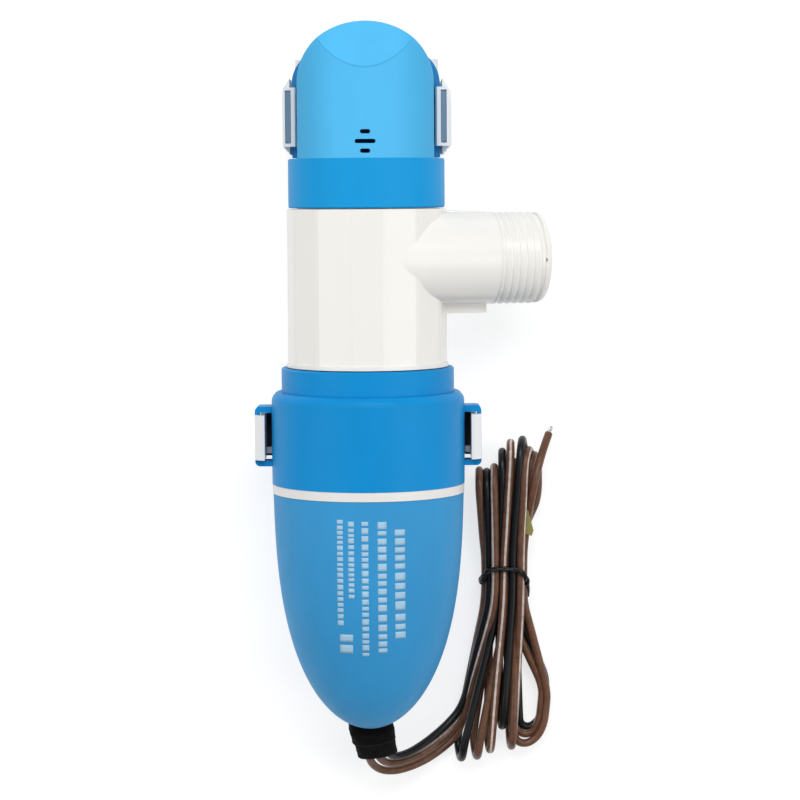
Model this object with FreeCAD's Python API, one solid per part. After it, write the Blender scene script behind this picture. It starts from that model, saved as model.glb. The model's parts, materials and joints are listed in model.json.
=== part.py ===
"""Low-profile automatic bilge pump on its snap-in mounting cradle.

Frame: millimetres, +Z up, the cradle stands on Z = 0.  The pump's axis is level, along Y, and the
strainer is at +Y.  The outlet leaves towards +X.  The origin is under the axis, at mid-housing.
"""
import math
import os

import FreeCAD
import Part

# ---- driving dimensions -------------------------------------------------------------------------
AXIS_Z = 34.0            # height of the pump axis over the floor
RUN_GAP = 0.3            # gap between faces that turn past each other
EDGE = 0.4               # small chamfer on moulded rims

# strainer
RING_R = 24.3            # round rear part of the strainer
RING_BORE_R = 21.9
RING_Y = (24.7, 39.9)
DOME_HALF_W = 20.9
NOSE_START_Y = 63.1
NOSE_LEN = 18.3
DOME_WALL = 2.2
SHOULDER_R = 1.5         # rounding along the dome's upper edges
CAP_Y = 67.1             # where the sloped cap starts on the crown
CAP_SLOPE = math.radians(29.0)
PART_LINE_Z = AXIS_Z - 2.0
FLANGE_HALF_W = 23.0
FLANGE_NOSE_LEN = 15.0
FLANGE_T = 2.6
BASKET_HALF_W = 19.3
BASKET_BOTTOM_Z = 7.0
BASKET_WALL = 1.8
KEEL_HALF_W = 4.0        # unslotted strip along the basket's bottom
SLOT_PITCH = 3.6         # the slots are half as wide as their pitch
VENT_W = 1.3
VENTS = ((47.8, 3.1), (44.9, 6.3), (42.0, 3.1))     # Y and length of each vent slot

# volute housing
HOUSING_Y = (-24.5, 24.4)
HOUSING_R = 24.8
HOUSING_SIDES = 14
CHAMBER_R = 20.5
CHAMBER_Y = (-3.5, 20.9)
REAR_BORE_R = 22.0
SPIGOT_Y = 8.9
SPIGOT_R = 14.3          # 1-1/8 in hose size
SPIGOT_BORE_R = 11.6
SPIGOT_BORE_LEN = 27.0
THROAT_R = 11.0
SPIGOT_OFFSET = 9.6      # spigot axis above the pump axis
SPIGOT_TILT = 15.0       # degrees below level
SPIGOT_LEN = 53.3
THREAD_PITCH = 2.309     # 11 threads to the inch
THREAD_DEPTH = 0.75
THREAD_RAMP = 1.75       # each thread rises slowly towards the outlet and falls steeply
THREAD_START = 37.9
THREAD_TURNS = 6
WEEP_R = 0.65
ROOT_BLOCK_X = (4.0, 36.1)      # the block behind the spigot, in the spigot's tilted frame
ROOT_BLOCK_Y = (-8.2, 23.7)
ROOT_BLOCK_Z = (-16.0, 0.0)

# collar and motor shell
COLLAR_Y = (-24.8, -61.0)
COLLAR_SMALL_R = 26.9
COLLAR_STEP_Y = -32.4
COLLAR_R = 30.1
BAND_Y = (-63.8, -61.0)
BAND_R = 30.0
SHELL_R = 29.8
SHELL_TAPER = 2.0
SHELL_START_Y = -63.9
SHELL_TIP_Y = -139.0
SHELL_POWER = 2.8
SHELL_WALL = 2.4
LIP_R = 28.0

# ears on the collar and snap arms on the cradle
EAR_Y = (-55.8, -37.0)
EAR_Z = (AXIS_Z - 7.0, AXIS_Z + 1.0)
EAR_OUT = 35.4
EAR_SLOT_OUT = 34.2
LOWER_ARM_Y = (-53.6, -39.6)
LOWER_ARM_X = (32.2, 33.7)
LOWER_HOOK_OUT = 35.3
LOWER_PIVOT = (33.0, 5.0)
UPPER_ARM_Y = (43.7, 61.9)
UPPER_ROOT_Y = (41.4, 64.8)
UPPER_ARM_X = (23.7, 25.7)
UPPER_HOOK_IN = 21.5
UPPER_PIVOT = (24.7, 5.0)
UPPER_PAD_HALF_W = 2.4
LOWER_PAD_HALF_W = 2.6
ROOT_SLANT = (2.9, 3.2)         # slanted outer corners of the upper arms' roots, in X and Y
ROOT_SLANT_TOP = 26.0
ARM_SIDE_GAP = 0.6
BEAD_R = 1.4

# cradle
BASE_T = 3.0
RAIL_X = (15.0, 23.0)
BASE_Y = (-58.0, 72.0)
SCREW_R = 2.1
SCREW_X = 19.0
SCREW_YS = (-33.0, 67.0)

# motor and rotor
CAN_R = 18.0
CAN_Y = (-69.0, -14.0)
CAN_WALL = 1.2
SHAFT_R = 1.6
IMPELLER_R = 16.5
IMPELLER_VANES = 5

# leads
WIRE_R = 1.3
BLACK_ROUTE = ((4.9, -148.2, 25.0), (6.4, -151.2, 21.6), (11.6, -151.4, 16.6), (18.3, -148.4, 10.9),
               (24.8, -143.8, 6.6), (29.9, -138.2, 4.7))
STRIPED_ROUTE = ((2.0, -148.6, 25.0), (2.8, -152.8, 20.9), (8.8, -154.6, 15.8), (16.8, -152.4, 10.0),
                 (24.4, -147.8, 5.6), (30.0, -142.0, 4.0))
BROWN_ROUTE = ((-0.9, -149.0, 25.0), (-0.4, -154.0, 20.2), (5.8, -157.8, 15.0), (15.4, -156.4, 9.0),
               (24.0, -151.8, 4.4), (29.3, -146.4, 3.0))
BROWN_END_ROUTE = ((56.6, -55.6, 5.6), (57.6, -52.0, 5.4), (58.1, -48.6, 5.0))
TIP_R = 0.9

os.makedirs("parts", exist_ok=True)
V = FreeCAD.Vector
AXIS = V(0, 0, AXIS_Z)
ALONG_Y = V(0, 1, 0)


# ---- small builders -----------------------------------------------------------------------------
def save(name, shape):
    """Write one node."""
    shape.exportStep("parts/" + name + ".step")
    print(f"{name:24s} {len(shape.Solids)} solid(s) {shape.Volume / 1000:8.2f} cm3 valid={shape.isValid()}")


def block(x, y, z):
    """Box from three (low, high) pairs."""
    low = V(min(x), min(y), min(z))
    return Part.makeBox(abs(x[1] - x[0]), abs(y[1] - y[0]), abs(z[1] - z[0]), low)


def rod(radius, y, x=0.0, z=AXIS_Z):
    """Round bar along Y between two stations."""
    return Part.makeCylinder(radius, abs(y[1] - y[0]), V(x, min(y), z), ALONG_Y)


def sleeve(outer, inner, y, x=0.0, z=AXIS_Z):
    """Tube along Y between two stations."""
    return rod(outer, y, x, z).cut(rod(inner, (min(y) - 1, max(y) + 1), x, z))


def turned(profile):
    """Body of revolution about the pump axis from (radius, y) corners."""
    points = [V(r, y, AXIS_Z) for r, y in profile]
    return Part.Face(Part.makePolygon(points + points[:1])).revolve(AXIS, ALONG_Y, 360)


def ring_seal(radius, section, y):
    """O-ring about the pump axis."""
    return Part.makeTorus(radius, section, V(0, y, AXIS_Z), ALONG_Y)


def prism(points, direction):
    """Straight extrusion of a closed polygon."""
    corners = [V(*p) for p in points]
    return Part.Face(Part.makePolygon(corners + corners[:1])).extrude(V(*direction))


def fused(shapes):
    """One solid out of several."""
    return shapes[0].multiFuse(shapes[1:]).removeSplitter()


def mirrored(shape):
    """The same piece on the other side."""
    return shape.mirror(V(0, 0, 0), V(1, 0, 0))


def nose_outline(half_width, nose_len, y_rear, z):
    """Plan outline of the strainer: straight sides and a half-ellipse nose."""
    curve = Part.Ellipse(V(0, NOSE_START_Y, z), half_width, nose_len)
    nose = Part.ArcOfEllipse(curve, 0, math.pi).toShape()
    right, left = V(half_width, NOSE_START_Y, z), V(-half_width, NOSE_START_Y, z)
    rear_right, rear_left = V(half_width, y_rear, z), V(-half_width, y_rear, z)
    sides = [Part.makeLine(left, rear_left), Part.makeLine(rear_left, rear_right),
             Part.makeLine(rear_right, right)]
    return Part.Face(Part.Wire([nose] + sides))


def rounded(shape, radius, pick):
    """Fillet the edges that pick() accepts."""
    edges = [edge for edge in shape.Edges if pick(edge)]
    return shape.makeFillet(radius, edges)


def middle_of(edge):
    """Point half way along an edge."""
    return edge.valueAt((edge.FirstParameter + edge.LastParameter) / 2)


def bent_path(route):
    """Straight runs joined by tangent arcs; returns the wire, its length and its arc radii."""
    points = [V(*p) for p in route]
    edges, radii, start = [], [], points[0]
    for before, corner, after in zip(points, points[1:], points[2:]):
        inward, outward = corner - before, after - corner
        half_turn = inward.getAngle(outward) / 2
        radius = 0.45 * min(inward.Length, outward.Length) / math.tan(half_turn)
        trim = radius * math.tan(half_turn)
        arc_in = corner - V(inward).normalize() * trim
        arc_out = corner + V(outward).normalize() * trim
        to_centre = (V(outward).normalize() - V(inward).normalize()).normalize()
        centre = corner + to_centre * (radius / math.cos(half_turn))
        arc_middle = centre + (corner - centre).normalize() * radius
        edges.append(Part.LineSegment(start, arc_in).toShape())
        edges.append(Part.Arc(arc_in, arc_middle, arc_out).toShape())
        radii.append(radius)
        start = arc_out
    edges.append(Part.LineSegment(start, points[-1]).toShape())
    wire = Part.Wire(edges)
    return wire, wire.Length, radii


def round_lead(name, route, radius):
    """Round wire along a route; prints its arc radii and checks its volume."""
    wire, length, radii = bent_path(route)
    heading = V(*route[1]) - V(*route[0])
    profile = Part.Wire(Part.makeCircle(radius, V(*route[0]), heading))
    lead = wire.makePipeShell([profile], True, False)
    expected = math.pi * radius ** 2 * length
    bends = ", ".join(f"{r:.1f}" for r in radii)
    print(f"{name}: length {length:.1f} mm, radii {bends} mm, volume ratio {lead.Volume / expected:.4f}")
    return lead


def oval(centre_x, y, half_width, bottom, top):
    """Ellipse in a plane across Y."""
    centre = V(centre_x, y, (bottom + top) / 2)
    half_height = (top - bottom) / 2
    if half_width >= half_height:
        curve = Part.Ellipse(centre + V(half_width, 0, 0), centre + V(0, 0, half_height), centre)
    else:
        curve = Part.Ellipse(centre + V(0, 0, half_height), centre + V(half_width, 0, 0), centre)
    return Part.Wire(curve.toShape())


# ---- strainer -----------------------------------------------------------------------------------
def dome_form(inset, y_rear, z_low):
    """Arched strainer body with a sloped cap over its nose, shrunk by the wall where asked."""
    outline = nose_outline(DOME_HALF_W - inset, NOSE_LEN - inset, y_rear, z_low)
    body = outline.extrude(V(0, 0, AXIS_Z + RING_R + 1 - z_low))
    body = body.common(rod(RING_R - inset, (y_rear - 1, NOSE_START_Y + NOSE_LEN + 1)))
    reach = 40.0
    crown_z = AXIS_Z + RING_R - inset
    front_y, front_z = CAP_Y + reach, crown_z - reach * math.tan(CAP_SLOPE)
    wedge = prism([(-reach, CAP_Y, crown_z), (-reach, CAP_Y, crown_z + reach),
                   (-reach, front_y, crown_z + reach), (-reach, front_y, front_z)], (2 * reach, 0, 0))
    return body.cut(wedge)


def crown_edge(edge):
    """True on the dome's upper edges, except the crease where the cap starts."""
    point = middle_of(edge)
    box = edge.BoundBox
    crease = abs(box.YMin - CAP_Y) < 0.3
    beside_arch = abs(abs(point.x) - DOME_HALF_W) < 0.1 and point.y < NOSE_START_Y
    round_nose = point.y > NOSE_START_Y
    return point.z > AXIS_Z + 5 and box.YMax > RING_Y[1] + 2 and not crease and (beside_arch or round_nose)


def vent_slot(y, length):
    """Round-ended slot through the crown."""
    half = (length - VENT_W) / 2
    low, high = AXIS_Z + 18, AXIS_Z + 26
    slot = block((-half, half), (y - VENT_W / 2, y + VENT_W / 2), (low, high))
    for x in (-half, half):
        slot = slot.fuse(Part.makeCylinder(VENT_W / 2, high - low, V(x, y, low)))
    return slot


def strainer_shell():
    """Dome and rear ring in one moulding, open below, with three vent slots in the crown."""
    outer = rounded(dome_form(0.0, RING_Y[1] - 1.0, PART_LINE_Z), SHOULDER_R, crown_edge)
    inner = dome_form(DOME_WALL, RING_Y[1] - 2.0, PART_LINE_Z - 1)
    rear, front = RING_Y
    ring = turned([(RING_BORE_R, rear), (RING_R - EDGE, rear), (RING_R, rear + EDGE), (RING_R, front - EDGE),
                   (RING_R - EDGE, front), (RING_BORE_R, front)])
    front_wall = rod(RING_R - EDGE, (front - DOME_WALL, front))
    shell = fused([ring, front_wall, outer])
    shell = shell.cut(inner.common(block((-30, 30), (front - DOME_WALL - 0.5, 90), (0, 80))))
    shell = shell.cut(rod(BASKET_HALF_W - BASKET_WALL - 1.5, (rear, front + 1)))
    for y, length in VENTS:
        shell = shell.cut(vent_slot(y, length))
    return shell


def strainer_basket():
    """Flange and slotted lower basket that closes the dome from below."""
    y_rear = RING_Y[1] + RUN_GAP
    wide = nose_outline(FLANGE_HALF_W, FLANGE_NOSE_LEN, y_rear, PART_LINE_Z - FLANGE_T)
    under_dome = nose_outline(DOME_HALF_W, NOSE_LEN, y_rear, PART_LINE_Z - FLANGE_T)
    flange = fused([face.extrude(V(0, 0, FLANGE_T)) for face in (wide, under_dome)])
    skirt = nose_outline(BASKET_HALF_W, NOSE_LEN - 2.0, y_rear, BASKET_BOTTOM_Z)
    skirt = skirt.extrude(V(0, 0, PART_LINE_Z - BASKET_BOTTOM_Z - 0.5))
    room = nose_outline(BASKET_HALF_W - BASKET_WALL, NOSE_LEN - 2.0 - BASKET_WALL, y_rear + BASKET_WALL,
                        BASKET_BOTTOM_Z + BASKET_WALL)
    room = room.extrude(V(0, 0, 40))
    basket = flange.fuse(skirt).cut(room)
    basket = basket.cut(rod(BASKET_HALF_W - BASKET_WALL - 1.5, (y_rear - 1, y_rear + 3)))
    keel = block((-KEEL_HALF_W, KEEL_HALF_W), (y_rear, NOSE_START_Y + 2.0),
                 (BASKET_BOTTOM_Z - 1, BASKET_BOTTOM_Z + BASKET_WALL))
    slots = []
    slot_z = (BASKET_BOTTOM_Z - 1, PART_LINE_Z - FLANGE_T - 3.0)
    for number in range(6):
        y = y_rear + 6.4 + number * SLOT_PITCH
        slots.append(block((-30, 30), (y, y + SLOT_PITCH / 2), slot_z).cut(keel))
    for number in range(-4, 5):
        x = number * SLOT_PITCH
        slots.append(block((x - SLOT_PITCH / 4, x + SLOT_PITCH / 4), (NOSE_START_Y + 4.5, 90), slot_z))
    return basket.cut(Part.makeCompound(slots))


# ---- volute housing (turns about the pump axis) ---------------------------------------------------
TILT = math.radians(SPIGOT_TILT)
SPIGOT_DIR = V(math.cos(TILT), 0, -math.sin(TILT))
SPIGOT_UP = V(math.sin(TILT), 0, math.cos(TILT))
SPIGOT_FOOT = V(0, SPIGOT_Y, AXIS_Z) + SPIGOT_UP * SPIGOT_OFFSET


def spigot_rod(radius, start, length):
    """Round bar on the spigot's own axis."""
    return Part.makeCylinder(radius, length, SPIGOT_FOOT + SPIGOT_DIR * start, SPIGOT_DIR)


def spigot_turned(profile):
    """Body of revolution about the spigot's axis from (distance, radius) corners."""
    points = [SPIGOT_FOOT + SPIGOT_DIR * u + SPIGOT_UP * r for u, r in profile]
    return Part.Face(Part.makePolygon(points + points[:1])).revolve(SPIGOT_FOOT, SPIGOT_DIR, 360)


def threaded_end():
    """Threaded outer part of the spigot with a rounded end land."""
    root = SPIGOT_R - THREAD_DEPTH
    profile = [(THREAD_START - 4, 0), (THREAD_START - 4, root)]
    for turn in range(THREAD_TURNS):
        u = THREAD_START + turn * THREAD_PITCH
        profile += [(u - THREAD_RAMP, root), (u - 0.3, SPIGOT_R), (u + 0.05, SPIGOT_R), (u + 0.45, root)]
    land = THREAD_START + (THREAD_TURNS - 1) * THREAD_PITCH + 1.5
    profile += [(land, root), (land + 0.3, SPIGOT_R - 0.15), (SPIGOT_LEN - 1.4, SPIGOT_R - 0.15),
                (SPIGOT_LEN - 0.4, SPIGOT_R - 0.7), (SPIGOT_LEN, SPIGOT_R - 1.5), (SPIGOT_LEN, 0)]
    return spigot_turned(profile)


def volute_housing():
    """Faceted drum with a tangential threaded spigot and the square root block behind it."""
    turn = 360.0 / HOUSING_SIDES
    corners = []
    for number in range(HOUSING_SIDES):
        angle = math.radians(101.9 - number * turn)
        radius = HOUSING_R + 0.2
        corners.append((radius * math.cos(angle), HOUSING_Y[0], AXIS_Z + radius * math.sin(angle)))
    drum = prism(corners, (0, HOUSING_Y[1] - HOUSING_Y[0], 0)).common(rod(HOUSING_R, HOUSING_Y))
    lip = rod(HOUSING_R + 0.4, (HOUSING_Y[0], HOUSING_Y[0] + 1.1))
    neck = spigot_rod(SPIGOT_R, 0, THREAD_START - 1.2)
    root_block = block(ROOT_BLOCK_X, ROOT_BLOCK_Y, ROOT_BLOCK_Z)
    root_block = rounded(root_block, 0.8, lambda edge: edge.BoundBox.XMin > ROOT_BLOCK_X[1] - 0.1)
    tilted = FreeCAD.Rotation(ALONG_Y, SPIGOT_TILT)
    root_block.Placement = FreeCAD.Placement(SPIGOT_FOOT - V(0, SPIGOT_Y, 0), tilted)
    body = drum.fuse(lip).fuse(root_block).fuse(neck).fuse(threaded_end())
    body = body.cut(rod(REAR_BORE_R, (HOUSING_Y[0] - 1, CHAMBER_Y[0])))
    body = body.cut(rod(CHAMBER_R, (CHAMBER_Y[0] - 1, CHAMBER_Y[1])))
    body = body.cut(rod(22.6, (CHAMBER_Y[1], HOUSING_Y[1] + 1)))
    body = body.cut(rod(23.2, (-21.6, -19.6)))
    body = body.cut(spigot_rod(THROAT_R, 0, SPIGOT_LEN + 1))
    body = body.cut(spigot_rod(SPIGOT_BORE_R, SPIGOT_LEN - SPIGOT_BORE_LEN, SPIGOT_BORE_LEN + 1))
    weep_start = SPIGOT_FOOT + SPIGOT_DIR * (SPIGOT_LEN - 2.4) + V(0, -0.5, 0)
    return body.cut(Part.makeCylinder(WEEP_R, SPIGOT_R + 1, weep_start, SPIGOT_UP))


def volute_end_plate():
    """Front plate of the pump chamber with the intake eye and the snout that enters the strainer."""
    face = HOUSING_Y[1]
    return turned([(9.0, 14.6), (10.6, 14.6), (10.6, 21.1), (22.55, 21.1), (22.55, face), (21.4, face),
                   (21.4, 28.2), (20.5, 28.2), (20.5, 30.2), (21.4, 30.2), (21.4, 33.0), (18.9, 33.0),
                   (18.9, face), (9.0, 22.9)])


# ---- motor unit ---------------------------------------------------------------------------------
def shell_radius(y):
    """Outer radius of the bullet-shaped motor shell."""
    along = (SHELL_START_Y - y) / (SHELL_START_Y - SHELL_TIP_Y)
    return (SHELL_R - SHELL_TAPER * along) * math.sqrt(max(0.0, 1 - along ** SHELL_POWER))


def bullet(inset, y_start):
    """Solid bullet, shrunk all round by the wall where asked."""
    length = y_start - SHELL_TIP_Y - inset
    stations = [y_start - length * math.sin(step * math.pi / 28) for step in range(15)]
    stretch = (SHELL_START_Y - SHELL_TIP_Y) / (SHELL_START_Y - SHELL_TIP_Y - inset)
    points = []
    for y in stations:
        radius = shell_radius(SHELL_START_Y + (y - SHELL_START_Y) * stretch)
        points.append(V(max(radius - inset * math.sqrt(max(radius, 0) / SHELL_R), 0), y, AXIS_Z))
    points[-1] = V(0, stations[-1], AXIS_Z)
    curve = Part.BSplineCurve()
    curve.interpolate(points)
    edges = [curve.toShape(), Part.makeLine(points[-1], V(0, y_start, AXIS_Z)),
             Part.makeLine(V(0, y_start, AXIS_Z), points[0])]
    return Part.Face(Part.Wire(edges)).revolve(AXIS, ALONG_Y, 360)


def motor_shell():
    """Bullet-shaped rear shell with a lip that plugs into the collar and a slot for the lead boot."""
    shell = bullet(0.0, SHELL_START_Y).cut(bullet(SHELL_WALL, SHELL_START_Y))
    lip = sleeve(LIP_R, LIP_R - 1.8, (SHELL_START_Y, -58.5))
    web = turned([(LIP_R, SHELL_START_Y), (LIP_R, SHELL_START_Y - 0.8), (LIP_R - 1.8, SHELL_START_Y - 0.8),
                  (LIP_R - 1.8, SHELL_START_Y)])
    return fused([shell, lip, web]).cut(cable_boot())


def motor_collar():
    """Collar round the front of the motor, with a slotted ear on each side for the cradle's arms."""
    front, rear = COLLAR_Y
    inside, step = 21.9, COLLAR_STEP_Y
    lip_seat = LIP_R + 0.05
    collar = turned([(inside, front), (COLLAR_SMALL_R - EDGE, front), (COLLAR_SMALL_R, front - EDGE),
                     (COLLAR_SMALL_R, step), (COLLAR_R - 1.7, step), (COLLAR_R - 1.3, step - 0.25),
                     (COLLAR_R - 0.5, step - 1.2), (COLLAR_R - 0.1, step - 2.0), (COLLAR_R, step - 2.8),
                     (COLLAR_R, rear), (lip_seat, rear), (lip_seat, step - 2.8), (inside, step - 2.8)])
    ear = block((COLLAR_R - 3.5, EAR_OUT), EAR_Y, EAR_Z)
    ear = rounded(ear, 1.6, lambda edge: middle_of(edge).x > EAR_OUT - 0.1 and edge.BoundBox.ZLength > 7)
    ear = ear.cut(rod(COLLAR_R - 0.4, (EAR_Y[0] - 1, EAR_Y[1] + 1)))
    slot_y = (LOWER_ARM_Y[0] - ARM_SIDE_GAP, LOWER_ARM_Y[1] + ARM_SIDE_GAP)
    slot = block((COLLAR_R, EAR_SLOT_OUT), slot_y, (EAR_Z[0] - 1, EAR_Z[1] + 1))
    ear = ear.cut(slot)
    return fused([collar, ear, mirrored(ear)])


def swivel_retainer():
    """Split ring that holds the housing on the motor's socket and lets it turn."""
    split = block((-1, 1), (-22, -19), (AXIS_Z, 80))
    return sleeve(22.9, 20.8, (-21.2, -20.0)).cut(split)


def shaft_seal():
    """Lip seal round the shaft, in the bulkhead's boss."""
    lip = SHAFT_R + 0.05
    return turned([(lip, -9.0), (lip, -8.2), (5.45, -8.2), (5.45, -12.6), (4.4, -12.6), (4.4, -9.6),
                   (2.6, -9.6)])


def seal_housing():
    """Cup between the pump chamber and the motor: bulkhead, seal boss and motor socket."""
    return turned([(SHAFT_R + 0.4, -3.9), (21.7, -3.9), (21.7, -12.6), (20.6, -12.6), (20.6, -14.2),
                   (21.7, -14.2), (21.7, -19.8), (20.5, -19.8), (20.5, -21.4), (21.7, -21.4),
                   (21.7, -38.0), (CAN_R + 0.1, -38.0),
                   (CAN_R + 0.1, -13.9), (5.5, -13.9), (5.5, -8.0), (SHAFT_R + 0.4, -8.0)])


def motor_can():
    """Drawn steel motor case with a centre hole for the front bearing."""
    rear, front = CAN_Y
    inner = CAN_R - CAN_WALL
    return turned([(3.1, front), (CAN_R, front), (CAN_R, rear), (inner, rear), (inner, front - CAN_WALL),
                   (5.1, front - CAN_WALL), (5.1, front - 4.0), (3.9, front - 4.0),
                   (3.9, front - CAN_WALL + 0.2), (3.1, front - CAN_WALL + 0.2)])


def motor_end_cap():
    """Moulded rear cap that carries the brushes and the rear bearing."""
    rear = CAN_Y[0]
    spigot = CAN_R - CAN_WALL - 0.05
    return turned([(3.9, rear - 6.5), (6.0, rear - 6.5), (6.0, rear - 3.0), (CAN_R, rear - 3.0),
                   (CAN_R, rear), (spigot, rear), (spigot, rear + 3.0), (CAN_R - 3.4, rear + 3.0),
                   (CAN_R - 3.4, rear - 0.5), (3.9, rear - 0.5)])


def field_magnets():
    """Two arc magnets inside the can, parted above and below the shaft."""
    outer = CAN_R - CAN_WALL - 0.02
    tube = sleeve(outer, outer - 3.2, (-60.0, -21.0))
    return tube.cut(block((-4.0, 4.0), (-70, -10), (0, 70)))


def brushes():
    """Two carbon brushes that bear on the commutator from above and below."""
    block_size = block((-2.0, 2.0), (-67.6, -63.4), (AXIS_Z + 4.0, AXIS_Z + 9.5))
    upper = block_size.cut(rod(4.55, (-70, -60)))
    lower = upper.mirror(AXIS, V(0, 0, 1))
    return Part.makeCompound([upper, lower])


def brush_springs():
    """Leaf springs that press the brushes inwards, anchored in the end cap."""
    leaf = block((-1.6, 1.6), (-69.4, -63.6), (AXIS_Z + 9.55, AXIS_Z + 9.9))
    return Part.makeCompound([leaf, leaf.mirror(AXIS, V(0, 0, 1))])


def board_post_places():
    """X and Z of the three posts that carry the circuit board."""
    angles = [math.radians(angle) for angle in (0, 120, 240)]
    return [(16.0 * math.sin(angle), AXIS_Z + 16.0 * math.cos(angle)) for angle in angles]


def control_board():
    """Round circuit board of the automatic switch behind the motor."""
    board = rod(19.5, (-86.6, -85.0))
    for x, z in board_post_places():
        board = board.cut(rod(1.3, (-88, -84), x, z))
    return board


def board_components():
    """Relay, capacitor, transistor and terminal block on the rear of the board."""
    relay = block((-8.0, 7.0), (-98.0, -86.6), (AXIS_Z - 12.0, AXIS_Z - 1.0))
    capacitor = rod(3.2, (-97.0, -86.6), 8.5, AXIS_Z + 4.5)
    transistor = block((-12.5, -8.5), (-96.0, -86.6), (AXIS_Z + 2.0, AXIS_Z + 10.0))
    terminals = block((-5.5, 5.0), (-93.0, -86.6), (AXIS_Z + 2.0, AXIS_Z + 7.0))
    return Part.makeCompound([relay, capacitor, transistor, terminals])


def board_screws():
    """Three screws that hold the board to its posts."""
    screws = []
    for x, z in board_post_places():
        screws.append(rod(1.2, (-86.6, -80.0), x, z).fuse(rod(2.3, (-88.2, -86.6), x, z)))
    return Part.makeCompound(screws)


def board_carrier():
    """Disc across the shell with three posts that carry the board."""
    shapes = [sleeve(26.0, 15.0, (-75.4, -73.8)).cut(block((-6, 6), (-76, -73), (0, AXIS_Z - 14)))]
    for x, z in board_post_places():
        shapes.append(rod(2.8, (-85.0, -75.0), x, z))
    carrier = fused(shapes)
    for x, z in board_post_places():
        carrier = carrier.cut(rod(1.2, (-86.0, -80.0), x, z))
    return carrier


def motor_leads():
    """Two leads from the motor's end cap to the board."""
    leads = [rod(0.9, (-85.0, CAN_Y[0] - 3.0), x, AXIS_Z + 9.5) for x in (-7.5, 7.5)]
    return Part.makeCompound(leads)


def water_sensor():
    """Sensing plate of the automatic switch, low inside the shell."""
    return block((-7.0, 7.0), (-84.6, -76.0), (AXIS_Z - 21.2, AXIS_Z - 20.0))


def cable_boot():
    """Flat rubber sleeve that carries the three leads out of the shell's tip."""
    stations = ((0.2, -127.0, 34.0, 6.2, 2.6), (0.2, -134.0, 33.6, 6.7, 2.8), (0.9, -141.8, 30.4, 6.7, 2.8),
                (2.0, -148.6, 25.0, 6.5, 2.6))
    headings = (V(0, -1, 0), V(0.1, -1, -0.1), V(0.15, -1, -0.55), V(0.15, -1, -0.85))
    sections = []
    for (x, y, z, half_width, half_height), heading in zip(stations, headings):
        centre = V(x, y, z)
        across = V(1, 0.15, 0).normalize()
        up = heading.cross(across).normalize()
        across = up.cross(heading).normalize()
        curve = Part.Ellipse(centre + across * half_width, centre + up * half_height, centre)
        sections.append(Part.Wire(curve.toShape()))
    return Part.makeLoft(sections, True, False)


# ---- rotor --------------------------------------------------------------------------------------
def motor_shaft():
    """Steel shaft from the rear bearing to the impeller nut."""
    return rod(SHAFT_R, (-75.0, 11.6))


def impeller():
    """Open impeller: back plate, hub and swept vanes."""
    hub = sleeve(3.4, SHAFT_R, (-2.7, 8.6))
    plate = sleeve(IMPELLER_R, SHAFT_R, (-2.7, -1.0))
    vanes = []
    sweep_r, thickness, height, reach = 15.0, 1.5, 14.9, 40.0
    other_side = prism([(-1.5, -2, AXIS_Z + 1.5), (reach, -2, AXIS_Z + 1.5 + reach + 1.5),
                        (reach, -2, AXIS_Z + 2 * reach), (-reach, -2, AXIS_Z + 2 * reach),
                        (-reach, -2, AXIS_Z + 1.5)], (0, 20, 0))
    for number in range(IMPELLER_VANES):
        ring = sleeve(sweep_r, sweep_r - thickness, (-1.1, -1.1 + height), 10.6, AXIS_Z + 10.6)
        vane = ring.common(rod(IMPELLER_R, (-2, 14))).cut(rod(3.0, (-2, 14)))
        vane = vane.cut(other_side)
        vane.rotate(AXIS, ALONG_Y, number * 360.0 / IMPELLER_VANES)
        vanes += vane.Solids
    return fused([plate, hub] + vanes).cut(rod(3.7, (8.65, 16)))


def impeller_nut():
    """Hexagon nut that holds the impeller."""
    corners = [(3.2 * math.cos(math.radians(a)), 8.7, AXIS_Z + 3.2 * math.sin(math.radians(a)))
               for a in range(0, 360, 60)]
    return prism(corners, (0, 2.4, 0)).cut(rod(SHAFT_R, (8, 12)))


def armature_core():
    """Laminated five-pole core."""
    core = sleeve(12.9, SHAFT_R, (-57.0, -25.0))
    for number in range(5):
        angle = math.radians(36 + number * 72)
        x, z = 9.3 * math.cos(angle), AXIS_Z + 9.3 * math.sin(angle)
        core = core.cut(rod(2.9, (-58, -24), x, z))
        mouth = block((9.3, 14.0), (-58, -24), (AXIS_Z - 1.0, AXIS_Z + 1.0))
        mouth.rotate(AXIS, ALONG_Y, -math.degrees(angle))
        core = core.cut(mouth)
    return core


def armature_windings():
    """Copper coils: five bars in the core's slots joined by an end turn at each end."""
    bars = []
    for number in range(5):
        angle = math.radians(36 + number * 72)
        x, z = 9.3 * math.cos(angle), AXIS_Z + 9.3 * math.sin(angle)
        bars.append(rod(2.8, (-57.4, -24.6), x, z))
    ends = [sleeve(11.8, 3.4, (-24.6, -21.5)), sleeve(11.8, 3.4, (-60.5, -57.4))]
    return fused(ends + bars)


def commutator():
    """Five copper bars on an insulating sleeve, parted by narrow gaps."""
    drum = sleeve(4.5, SHAFT_R, (-68.4, -61.6))
    for number in range(5):
        gap = block((3.6, 5.0), (-69, -61), (AXIS_Z - 0.2, AXIS_Z + 0.2))
        gap.rotate(AXIS, ALONG_Y, number * 72.0)
        drum = drum.cut(gap)
    return drum


def thrust_washers():
    """A washer at each end of the armature."""
    return Part.makeCompound([sleeve(3.3, SHAFT_R, (-19.4, -18.4)), sleeve(3.3, SHAFT_R, (-61.5, -60.6))])


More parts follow.
